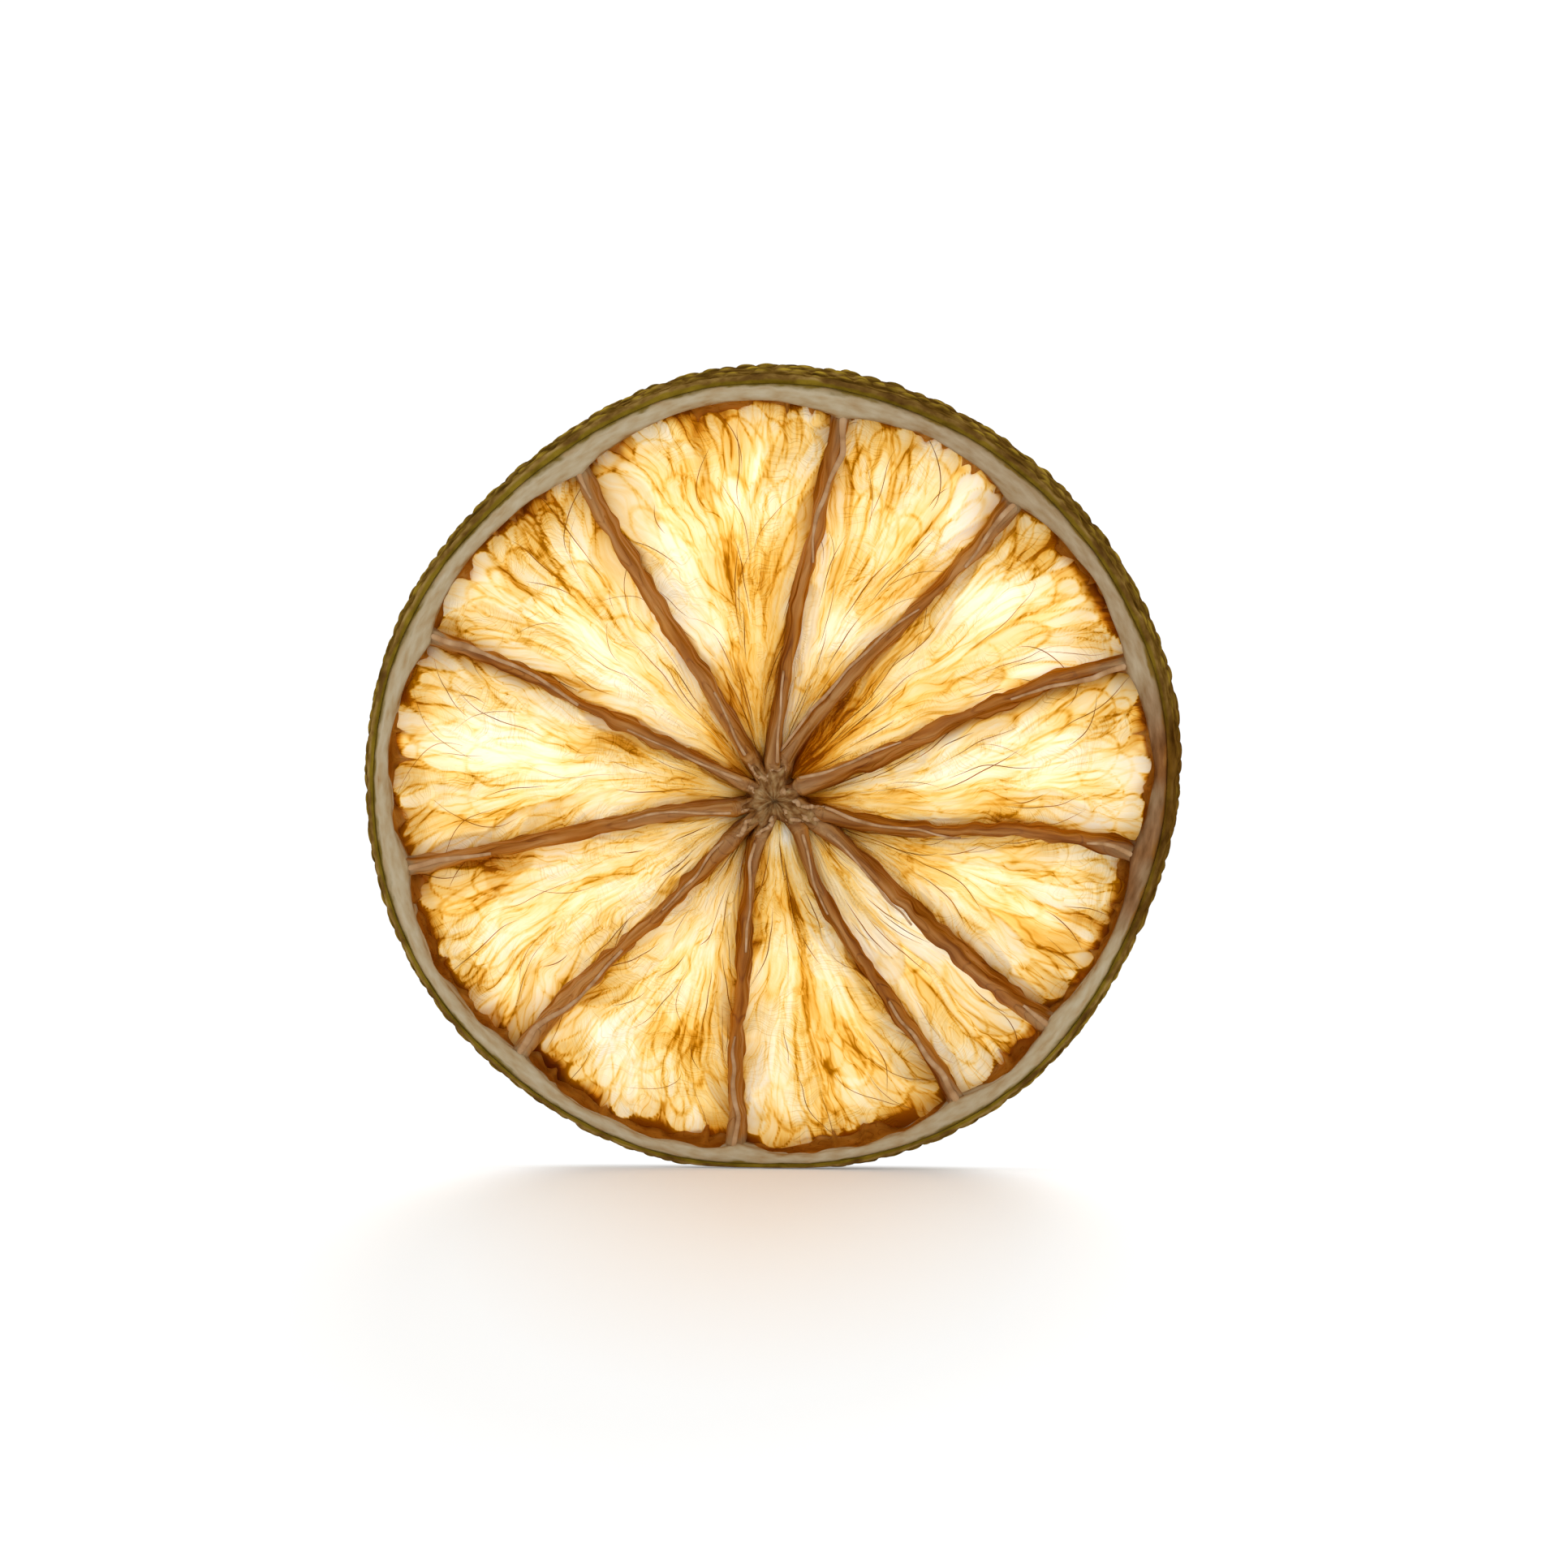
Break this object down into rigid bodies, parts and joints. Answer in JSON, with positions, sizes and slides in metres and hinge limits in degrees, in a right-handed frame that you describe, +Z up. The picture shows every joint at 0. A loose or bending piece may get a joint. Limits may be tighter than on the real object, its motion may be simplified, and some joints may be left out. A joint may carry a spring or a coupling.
{
  "type": "dried lime slice",
  "caption": "Round dried slice of lime with a bumpy peel, leaning segment walls, a pithy core and a thin sheet of dried pulp, standing on its edge.",
  "frame": {"origin": "under the middle of the slice, on the surface that its flat spot stands on", "axes": "+Z up, +Y from the pictured cut face through the slice to its back, +X to the right as seen from the front"},
  "size_m": [0.0459, 0.0057, 0.045],
  "materials": {
    "dried_lime": "dried fruit: dull olive-brown peel, glossy amber see-through pulp"
  },
  "bodies": {
    "root": {"lime_slice": "dried_lime"}
  },
  "joints": []
}
